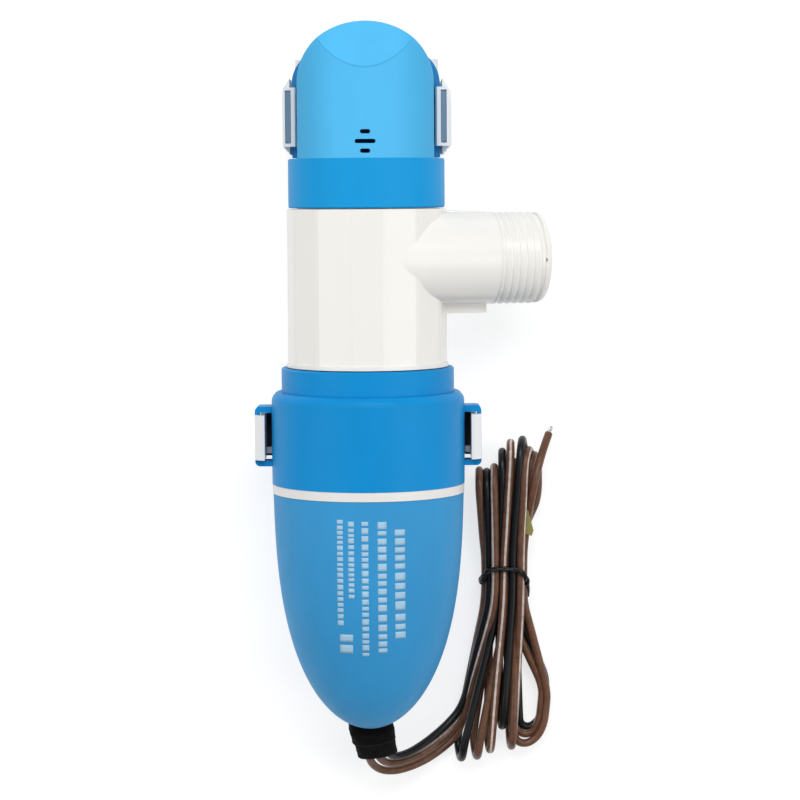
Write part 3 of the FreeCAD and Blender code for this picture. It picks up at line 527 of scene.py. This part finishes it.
def skin(grid, rings):
    """Join a bmesh's rings of vertices into a smooth tube with two flat caps."""
    for first, second in zip(rings, rings[1:]):
        for step in range(len(first)):
            following = (step + 1) % len(first)
            quad = (first[step], first[following], second[following], second[step])
            grid.faces.new(quad).smooth = True
    grid.faces.new(list(reversed(rings[0])))
    grid.faces.new(rings[-1])


def mesh_piece(name, grid, finishes):
    """Object made from a bmesh, with its materials."""
    mesh = bpy.data.meshes.new(name)
    grid.to_mesh(mesh)
    grid.free()
    piece = bpy.data.objects.new(name, mesh)
    bpy.context.scene.collection.objects.link(piece)
    for finish in finishes:
        mesh.materials.append(materials[finish])
    return piece


def carried_frames(line):
    """Tangent and side vectors along a polyline, carried without twist from an upward start."""
    tangents = []
    for index in range(len(line)):
        before, after = line[max(index - 1, 0)], line[min(index + 1, len(line) - 1)]
        tangents.append((after - before).normalized())
    side = Vector((0, 0, 1)).cross(tangents[0]).normalized()
    frames = []
    for tangent in tangents:
        side = (side - tangent * side.dot(tangent)).normalized()
        frames.append((tangent, side.copy(), tangent.cross(side)))
    return frames


TUBE_FACES = 36
STRIPE_FACES = 3            # of them
STRIPE_LEAN = (math.radians(-52), math.radians(50))     # from the first turn to the last
STRIPE_SWAY = 0.12          # radians to each side
STRIPE_SWAYS = 90           # radians of sway per metre of lead
HANK_X = 30.0 * MM          # past this X the leads have reached the hank


def stripe_angles(line, frames):
    """Angle of the stripe round the tube at each point.

    It is on top of the upper strands, and leans slowly over along the lead.
    """
    first = next(index for index, point in enumerate(line)
                 if point.x > HANK_X and point.y > WAIST_Y * MM)
    _, side, up = frames[first]
    top = math.atan2(up.z, side.z)
    low, high = STRIPE_LEAN
    whole = length_of(line)
    return [top + low + (high - low) * travelled / whole
            + STRIPE_SWAY * math.sin(travelled * STRIPE_SWAYS) for travelled in distances(line)]


def striped_tube(name, line, radius):
    """Round brown tube along a line, with a narrow pale stripe along it."""
    grid = bmesh.new()
    rings = []
    frames = carried_frames(line)
    for point, (_, side, up), turn in zip(line, frames, stripe_angles(line, frames)):
        angles = [turn + 2 * math.pi * (step - STRIPE_FACES / 2) / TUBE_FACES
                  for step in range(TUBE_FACES)]
        rings.append(round_ring(grid, point, side, up, angles, radius))
    skin(grid, rings)
    sides = list(grid.faces)[:TUBE_FACES * (len(rings) - 1)]
    for index, face in enumerate(sides):
        face.material_index = 1 if index % TUBE_FACES < STRIPE_FACES else 0
    bmesh.ops.recalc_face_normals(grid, faces=grid.faces)
    return mesh_piece(name, grid, ("wire_brown", "wire_white"))


# folds at the hank's top and foot in turn: tip X and Y, way, lowest and highest Z, lean in X;
# then each pass's row and sideways offset in the tie, and the free end
BLACK_TURNS = [fold(37.9, -60.4, TOP, 1.7, 13.4, 0.6), fold(29.1, -155.0, BOTTOM, 1.6, 13.6, 2.0),
               fold(42.9, -53.9, TOP, 1.6, 13.8, 0.5), fold(42.5, -144.5, BOTTOM, 1.7, 13.8, 1.0),
               fold(49.4, -50.0, TOP, 1.6, 14.2, 2.2),
               open_loop(51.4, -145.3, 3.1, 5.4, 10.0, 5.4, 2.0)]
BLACK_SLOTS = [(3, -4.6), (0, -5.6), (3, -1.4), (1, -1.4), (4, 2.8), (1, 4.2), (2, 2.8)]
BLACK_TAIL = ((48.2, -81.0, 6.8), (49.2, -76.5, 6.0))
STRIPED_TURNS = [fold(40.3, -58.9, TOP, 1.6, 14.1, 0.6), fold(38.5, -152.3, BOTTOM, 1.6, 14.0, 1.2),
                 fold(45.6, -51.0, TOP, 1.6, 14.2, 0.8), fold(46.2, -147.0, BOTTOM, 3.0, 11.0, 0.3),
                 fold(51.4, -53.4, TOP, 3.6, 14.2, 3.2),
                 open_loop(50.7, -147.7, 3.6, 4.8, 10.0, 4.4, 4.2)]
STRIPED_SLOTS = [(4, -2.8), (1, -4.2), (4, 0.0), (0, 0.0), (4, 5.4), (0, 5.6), (2, 0.0)]
STRIPED_TAIL = ((51.8, -77.0, 4.4), (52.2, -71.0, 4.2))
BROWN_TURNS = [fold(35.5, -60.0, TOP, 1.8, 13.2, 0.5), fold(34.2, -154.4, BOTTOM, 1.6, 13.8, 1.8),
               fold(47.2, -57.5, TOP, 3.0, 11.4, 0.3), fold(45.5, -151.2, BOTTOM, 1.6, 13.6, 0.8),
               fold(53.3, -55.4, TOP, 2.2, 9.6, 3.0) + [(54.8, -70.0, 2.2)],
               open_loop(50.1, -150.3, 3.6, 6.9, 11.0, 8.0, 5.0)]
BROWN_SLOTS = [(2, -5.9), (0, -2.8), (3, 1.4), (1, 1.4), (3, 4.2), (0, 2.8), (2, 6.5)]
BROWN_TAIL = ((50.9, -76.4, 8.4), (52.0, -69.4, 12.4), (53.8, -60.4, 13.6), (56.2, -53.2, 8.8),
              (58.1, -48.9, 5.0))


def plain_lead(name, points, material, replaced, extras=()):
    """One lead as a bevelled NURBS curve, with its measured length printed."""
    line = centreline(points, name + "_guide")
    lead = spline_curve(name, points, WIRE_D / 2)
    lead.data.materials.append(materials[material])
    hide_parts(*replaced)
    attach(lead, ROOT)
    length_of(line)
    print(name, "length", round(length_of(line), 4))


def make_leads():
    """The three leads from the boot through the hank to their free ends."""
    black = lead_points(BLACK_ROUTE, BLACK_TURNS, BLACK_SLOTS, BLACK_TAIL)
    striped = lead_points(STRIPED_ROUTE, STRIPED_TURNS, STRIPED_SLOTS, STRIPED_TAIL)
    brown = lead_points(BROWN_ROUTE, BROWN_TURNS, BROWN_SLOTS, BROWN_TAIL)
    plain_lead("lead_black", black, "wire_black", ["wire_black"])
    plain_lead("lead_brown", brown, "wire_brown",
               ["wire_brown", "wire_brown_end", "wire_hank"],
               [tinned_strands(BROWN_TAIL[-2], BROWN_TAIL[-1])])
    line = centreline(striped, "lead_striped_guide")
    tube = striped_tube("lead_striped", line, WIRE_D / 2)
    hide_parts("wire_striped")
    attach(tube, ROOT)
    length_of(line)
    print("lead_striped length", round(length_of(line), 4))


# ---- small pieces -------------------------------------------------------------------------------
def tube_through(grid, line, radius, faces=10):
    """Add a capped round tube along a line to a bmesh."""
    rings = []
    for point, (_, side, up) in zip(line, carried_frames(line)):
        angles = [2 * math.pi * step / faces for step in range(faces)]
        rings.append(round_ring(grid, point, side, up, angles, radius))
    skin(grid, rings)


def twisted(line, strands, offset, pitch):
    """Lines of several strands twisted round one line."""
    frames = carried_frames(line)
    for strand_index in range(strands):
        start = 2 * math.pi * strand_index / strands
        turns = [start + way * 2 * math.pi / pitch for way in distances(line)]
        yield [point + (side * math.cos(angle) + up * math.sin(angle)) * offset
               for point, (_, side, up), angle in zip(line, frames, turns)]


BARE_LEN = 3.2 * MM         # bare strands, which start BARE_SUNK inside the lead's end
BARE_SUNK = 0.4 * MM
BARE_STEPS = 14
BARE_TWIST = 7.0 * MM       # length of one twist
BARE_STRANDS = 6            # round one more in the middle
BARE_OFFSET = 0.46 * MM
BARE_R = 0.30 * MM


def tinned_strands(before, end):
    """Bare twisted strands that stand out of the free end of the brown lead."""
    grid = bmesh.new()
    start = mm(*end)
    heading = (start - mm(*before)).normalized()
    line = [start + heading * (step / BARE_STEPS * BARE_LEN - BARE_SUNK)
            for step in range(BARE_STEPS + 1)]
    for strand_line in twisted(line, BARE_STRANDS, BARE_OFFSET, BARE_TWIST):
        tube_through(grid, strand_line, BARE_R, 8)
    tube_through(grid, line, BARE_R, 8)
    bmesh.ops.recalc_face_normals(grid, faces=grid.faces)
    piece = mesh_piece("tinned_strands", grid, ("tinned",))
    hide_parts("stripped_tip")
    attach(piece, ROOT)
    return piece


def slab(name, outline, low, high, edge, finish):
    """Flat piece with a bevelled edge: an outline in millimetres between two heights."""
    grid = bmesh.new()
    face = grid.faces.new([grid.verts.new(mm(x, y, low)) for x, y in outline])
    grown = bmesh.ops.extrude_face_region(grid, geom=[face])
    for item in grown["geom"]:
        if isinstance(item, bmesh.types.BMVert):
            item.co.z = high * MM
    bmesh.ops.bevel(grid, geom=grid.edges[:], offset=edge * MM, segments=2, profile=0.6,
                    affect="EDGES")
    bmesh.ops.recalc_face_normals(grid, faces=grid.faces)
    return mesh_piece(name, grid, (finish,))


def stadium(x_low, x_high, y_low, y_high, steps=8):
    """Outline of a bar with round ends, along Y."""
    radius = (x_high - x_low) / 2
    middle = (x_high + x_low) / 2
    points = []
    for centre, start in ((y_high - radius, 0), (y_low + radius, 180)):
        for step in range(steps + 1):
            angle = math.radians(start + 180 * step / steps)
            points.append((middle + radius * math.cos(angle),
                           centre + radius * math.sin(angle)))
    return points


make_leads()


GROOVE_X = (23.25, 24.95)
GROOVE_Y = (44.9, 60.7)
GROOVE_SHADE_BELOW = (1.4, 0.35)  # bottom and top of the groove's painted-shade strip below the upper arm's top
# black pads in the lower arms stand in for the shade between arm and collar: painted shade
SHADE_PAD_X = (30.4, 32.25)
SHADE_PAD_Y = (-53.4, -39.8)
SHADE_PAD_Z = (13.0, 24.6)        # below the ear's slot, so that it clears the ear when the arm flexes
STOP_X = (SHADE_PAD_X[0] + 0.1, SHADE_PAD_X[1] - 0.1)
STOP_Y = (-52.6, -50.6)
STOP_Z = (24.4, 25.8)
TRIM_EDGE = 0.18


def rectangle(x, y):
    """Outline of an upright rectangle from two (low, high) pairs."""
    return [(x[0], y[0]), (x[1], y[0]), (x[1], y[1]), (x[0], y[1])]


def make_clip_trim():
    """Grey strips of painted shade in the upper clips' grooves, and black pads of painted shade
    with small stops in the lower arms.
    """
    arm_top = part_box("upper_arm_right")[1][2] / MM
    groove_shade_z = (arm_top - GROOVE_SHADE_BELOW[0], arm_top - GROOVE_SHADE_BELOW[1])
    # the grooves' grey strips and the arms' black pads are painted shade
    pieces = (("clip_groove_shade_", stadium(*GROOVE_X, *GROOVE_Y), groove_shade_z,
               "groove_shade_grey", "grey_internal", "arm_upper_"),
              # black pad where there is only shade between the arm and the collar: painted shade
              ("arm_shade_pad_", rectangle(SHADE_PAD_X, SHADE_PAD_Y), SHADE_PAD_Z,
               "seal_rubber", "seal_rubber", "arm_lower_"),
              ("arm_stop_", rectangle(STOP_X, STOP_Y), STOP_Z,
               "white_cradle", "white_cradle", "arm_lower_"))
    for side, hand in ((1, "right"), (-1, "left")):
        for name, outline, (low, high), finish, slot, body in pieces:
            mirrored = [(side * x, y) for x, y in outline]
            piece = slab(name + hand, mirrored, low, high, TRIM_EDGE, finish)
            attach(piece, body + hand)


make_clip_trim()


SLEEVE_STATIONS = (         # centre, heading, half width, half thickness
    ((-0.2, -136.0, 33.4), (0.06, -1, -0.12), 6.7, 2.8),
    ((0.4, -140.0, 31.6), (0.12, -1, -0.40), 6.7, 2.8),
    ((1.1, -143.8, 29.0), (0.14, -1, -0.62), 6.5, 2.7),
    ((2.1, -148.9, 24.8), (0.15, -1, -0.85), 6.35, 2.5))
SLEEVE_ACROSS = (1, 0.13, 0)        # direction of its width
SLEEVE_FACES = 48
SLEEVE_SQUARE = 0.72        # power that flattens its oval, 1 for an ellipse
SEAM = 0.64                 # where the outer wrap ends, as a share of the sleeve's length
SEAM_EDGE = (SEAM + 0.008, SEAM + 0.012)    # the wrap's rounded edge, and the foot of its step
WRAP_T = 0.38


def squared_off(angle, power):
    """Cosine and sine of an angle, on a circle that a power below 1 squares off."""
    x, z = math.cos(angle), math.sin(angle)
    return math.copysign(abs(x) ** power, x), math.copysign(abs(z) ** power, z)


def sleeve_ring(grid, share, swell):
    """One flat oval ring of the sleeve, at a share of its length."""
    spans = len(SLEEVE_STATIONS) - 1
    index = min(int(share * spans), spans - 1)
    part = share * spans - index
    place_a, way_a, wide_a, thick_a = SLEEVE_STATIONS[index]
    place_b, way_b, wide_b, thick_b = SLEEVE_STATIONS[index + 1]
    centre = mm(*place_a).lerp(mm(*place_b), part)
    heading = Vector(way_a).lerp(Vector(way_b), part).normalized()
    across = Vector(SLEEVE_ACROSS).normalized()
    up = heading.cross(across).normalized()
    across = up.cross(heading).normalized()
    wide = (wide_a + (wide_b - wide_a) * part + swell) * MM
    thick = (thick_a + (thick_b - thick_a) * part + swell) * MM
    ring = []
    for step in range(SLEEVE_FACES):
        angle = 2 * math.pi * step / SLEEVE_FACES
        x, z = squared_off(angle, SLEEVE_SQUARE)
        ripple = (1 + 0.012 * math.sin(5 * angle + 19 * share)
                  + 0.008 * math.sin(11 * angle - 31 * share))
        ring.append(grid.verts.new(centre + across * (x * wide * ripple)
                                   + up * (z * thick * ripple)))
    return ring


def make_sleeve():
    """Flat black sleeve round the leads, wrapped twice next to the shell."""
    grid = bmesh.new()
    rows = [(step / 20 * SEAM, WRAP_T) for step in range(20)]
    rows += [(SEAM, WRAP_T), (SEAM_EDGE[0], WRAP_T - 0.05), (SEAM_EDGE[1], 0.02)]
    rows += [(SEAM_EDGE[1] + (1 - SEAM_EDGE[1]) * step / 10, 0.0) for step in range(1, 11)]
    rows += [(1.0, -0.5), (0.97, -0.6)]     # the lower mouth turns in
    skin(grid, [sleeve_ring(grid, share, swell) for share, swell in rows])
    bmesh.ops.recalc_face_normals(grid, faces=grid.faces)
    piece = mesh_piece("lead_sleeve", grid, ("boot_rubber",))
    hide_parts("cable_boot")
    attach(piece, ROOT)


make_sleeve()


TIE_HALF = (7.4, 6.95)      # half width and half height of the tie's loop round the bundle
TIE_MIDDLE = (43.4, 8.0)    # X and Z
TIE_Y = -96.4
TIE_RISE = 4.8              # how far the loop's top stands towards the strainer
TIE_DROP = 0.9              # how far its right side is pulled the other way
TIE_SQUARE = 0.45           # power that squares off the loop, 1 for an ellipse
TIE_STEPS = 48
TIE_TWIST = 6.0 * MM
TIE_OFFSET = 0.42 * MM
TIE_R = 0.56 * MM
TIE_TAIL = ((50.6, -95.4, 10.2), (51.0, -97.4, 8.6), (51.2, -99.6, 7.0), (51.1, -101.8, 5.6))
TIE_TAIL_R = 0.6 * MM
TIE_NUB = ((36.9, -96.2, 8.4), (36.2, -96.6, 8.4), (35.8, -97.2, 8.0))
TIE_NUB_R = 0.62 * MM


def make_tie():
    """Twisted tie round the waist of the hank, with an end on its right and a nub on its left."""
    points = []
    for step in range(TIE_STEPS + 1):
        angle = math.pi - 2 * math.pi * step / TIE_STEPS
        x, z = squared_off(angle, TIE_SQUARE)
        lean = TIE_RISE * max(0.0, math.sin(angle)) ** 1.2 - TIE_DROP * max(0.0, math.cos(angle))
        points.append(mm(TIE_MIDDLE[0] + x * TIE_HALF[0], TIE_Y + lean,
                         TIE_MIDDLE[1] + z * TIE_HALF[1]))
    grid = bmesh.new()
    for strand_line in twisted(points, 2, TIE_OFFSET, TIE_TWIST):
        tube_through(grid, strand_line, TIE_R)
    tube_through(grid, [mm(*point) for point in TIE_TAIL], TIE_TAIL_R)
    tube_through(grid, [mm(*point) for point in TIE_NUB], TIE_NUB_R)
    bmesh.ops.recalc_face_normals(grid, faces=grid.faces)
    piece = mesh_piece("hank_tie_twist", grid, ("tie_black",))
    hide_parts("hank_tie")
    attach(piece, ROOT)


make_tie()


FLAG_OUTLINE = ((49.9, -71.4), (51.0, -72.6), (52.8, -79.6), (52.2, -81.4), (49.6, -80.4))
FLAG_Z = (11.3, 11.6)
FLAG_EDGE = 0.08


def make_flag():
    """Small blank olive flag that lies on the leads."""
    flag = slab("lead_flag", FLAG_OUTLINE, *FLAG_Z, FLAG_EDGE, "tag_yellow")
    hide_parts("wire_tag")
    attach(flag, ROOT)


make_flag()


PRINT_LINES = (             # middle X, front Y, rear Y, width across, longest block
    (9.7, -72.4, -108.1, 3.1, 3.0), (4.3, -69.9, -112.3, 2.7, 2.4),
    (-0.9, -69.8, -111.8, 2.1, 1.9), (-5.1, -69.8, -93.8, 1.8, 1.6),
    (-8.5, -69.3, -102.4, 1.8, 1.6), (-6.8, -105.0, -112.4, 4.0, 2.8))
PRINT_T = 0.05              # above and below the shell's surface
BLOCK_SHARE = (0.55, 1.0)   # a block's length, as a share of the longest
GAP_SHARE = (0.22, 0.4)     # the gap after it
CAST_FROM = 100.0           # a height above the whole shell


def printed_block(grid, cast, x_low, x_high, y_low, y_high):
    """One block of ink, laid on the shell's curved surface."""
    columns, rows = 4, 3
    top, bottom = [], []
    for row in range(rows + 1):
        for column in range(columns + 1):
            x = x_low + (x_high - x_low) * column / columns
            y = y_low + (y_high - y_low) * row / rows
            place, normal, _, _ = cast.ray_cast(mm(x, y, CAST_FROM), Vector((0, 0, -1)))
            top.append(grid.verts.new(place + normal * PRINT_T * MM))
            bottom.append(grid.verts.new(place - normal * PRINT_T * MM))
    wide = columns + 1
    for row in range(rows):
        for column in range(columns):
            at = row * wide + column
            quad = (at, at + 1, at + wide + 1, at + wide)
            grid.faces.new([top[index] for index in quad]).smooth = True
            grid.faces.new([bottom[index] for index in reversed(quad)])
    rim = list(range(wide)) + [row * wide + columns for row in range(1, rows + 1)]
    rim += [rows * wide + column for column in range(columns - 1, -1, -1)]
    rim += [row * wide for row in range(rows - 1, 0, -1)]
    for index, here in enumerate(rim):
        following = rim[(index + 1) % len(rim)]
        grid.faces.new((top[here], bottom[here], bottom[following], top[following]))


def make_print():
    """Plain blocks of pale ink in rows along the shell, where a maker prints its text."""
    shell = frame["nodes"]["motor_shell"].data
    cast = BVHTree.FromPolygons([vertex.co for vertex in shell.vertices],
                                [face.vertices[:] for face in shell.polygons])
    grid = bmesh.new()
    for x, front, rear, width, longest in PRINT_LINES:
        y = front
        while y - longest * 0.5 > rear:
            size = min(longest * rng.uniform(*BLOCK_SHARE), y - rear)
            printed_block(grid, cast, x - width / 2, x + width / 2, y - size, y)
            y -= size + longest * rng.uniform(*GAP_SHARE)
    bmesh.ops.recalc_face_normals(grid, faces=grid.faces)
    piece = mesh_piece("printed_blocks", grid, ("ink",))
    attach(piece, ROOT)


make_print()


# ---- stage --------------------------------------------------------------------------------------
FLOOR_HALF = 3.0            # metres
FLOOR_Z = -0.2 * MM
FLOOR_GREY = (0.38, 0.40)   # darkest and lightest
FLOOR_GLOW = 0.70
WHITE_LIGHT = (1.0, 1.0, 1.0, 1.0)
WORLD_GLOW = 0.36
LAMPS = (                   # name, place and size in metres, watts; all aim at the origin
    ("key", (0.05, 0.55, 1.00), (0.9, 0.5), 7.5),
    ("right", (0.9, -0.1, 0.8), (0.5, 1.0), 3.2),
    ("left", (-0.9, -0.1, 0.8), (0.5, 1.0), 2.4),
    ("strip", (0.0, 0.62, 1.0), (0.9, 0.05), 1.1))


def floor_paper():
    """White paper that glows a little, so that it stays as pale as a studio sweep."""
    material, tree, shader = new_material("floor_white")
    paper = noise(tree, object_coords(tree), 60.0)
    dark, light = FLOOR_GREY
    grey = ramp(tree, paper, ((LOW, (dark,) * 3), (HIGH, (light,) * 3)))
    link(tree, grey, shader.inputs["Base Color"])
    shader.inputs["Roughness"].default_value = 0.8
    shader.inputs["Specular IOR Level"].default_value = 0.1
    shader.inputs["Emission Color"].default_value = WHITE_LIGHT
    shader.inputs["Emission Strength"].default_value = FLOOR_GLOW
    return material


def make_floor():
    """Plain pale floor."""
    mesh = bpy.data.meshes.new("floor")
    grid = bmesh.new()
    bmesh.ops.create_grid(grid, x_segments=1, y_segments=1, size=FLOOR_HALF)
    grid.to_mesh(mesh)
    grid.free()
    floor = bpy.data.objects.new("floor", mesh)
    bpy.context.scene.collection.objects.link(floor)
    floor.location.z = FLOOR_Z
    floor.data.materials.append(floor_paper())


def make_lights():
    """White surroundings, a soft top light with a strip beside it, and two side fills."""
    world = bpy.data.worlds.new("studio")
    world.use_nodes = True
    background = world.node_tree.nodes["Background"]
    background.inputs["Color"].default_value = WHITE_LIGHT
    background.inputs["Strength"].default_value = WORLD_GLOW
    bpy.context.scene.world = world
    for name, place, size, power in LAMPS:
        light = bpy.data.lights.new(name, "AREA")
        light.shape = "RECTANGLE"
        light.size, light.size_y = size
        light.energy = power
        lamp = bpy.data.objects.new(name, light)
        bpy.context.scene.collection.objects.link(lamp)
        lamp.location = place
        lamp.rotation_euler = (-Vector(place)).to_track_quat("-Z", "Y").to_euler()
    bpy.context.scene.view_settings.view_transform = "Standard"


make_floor()
make_lights()
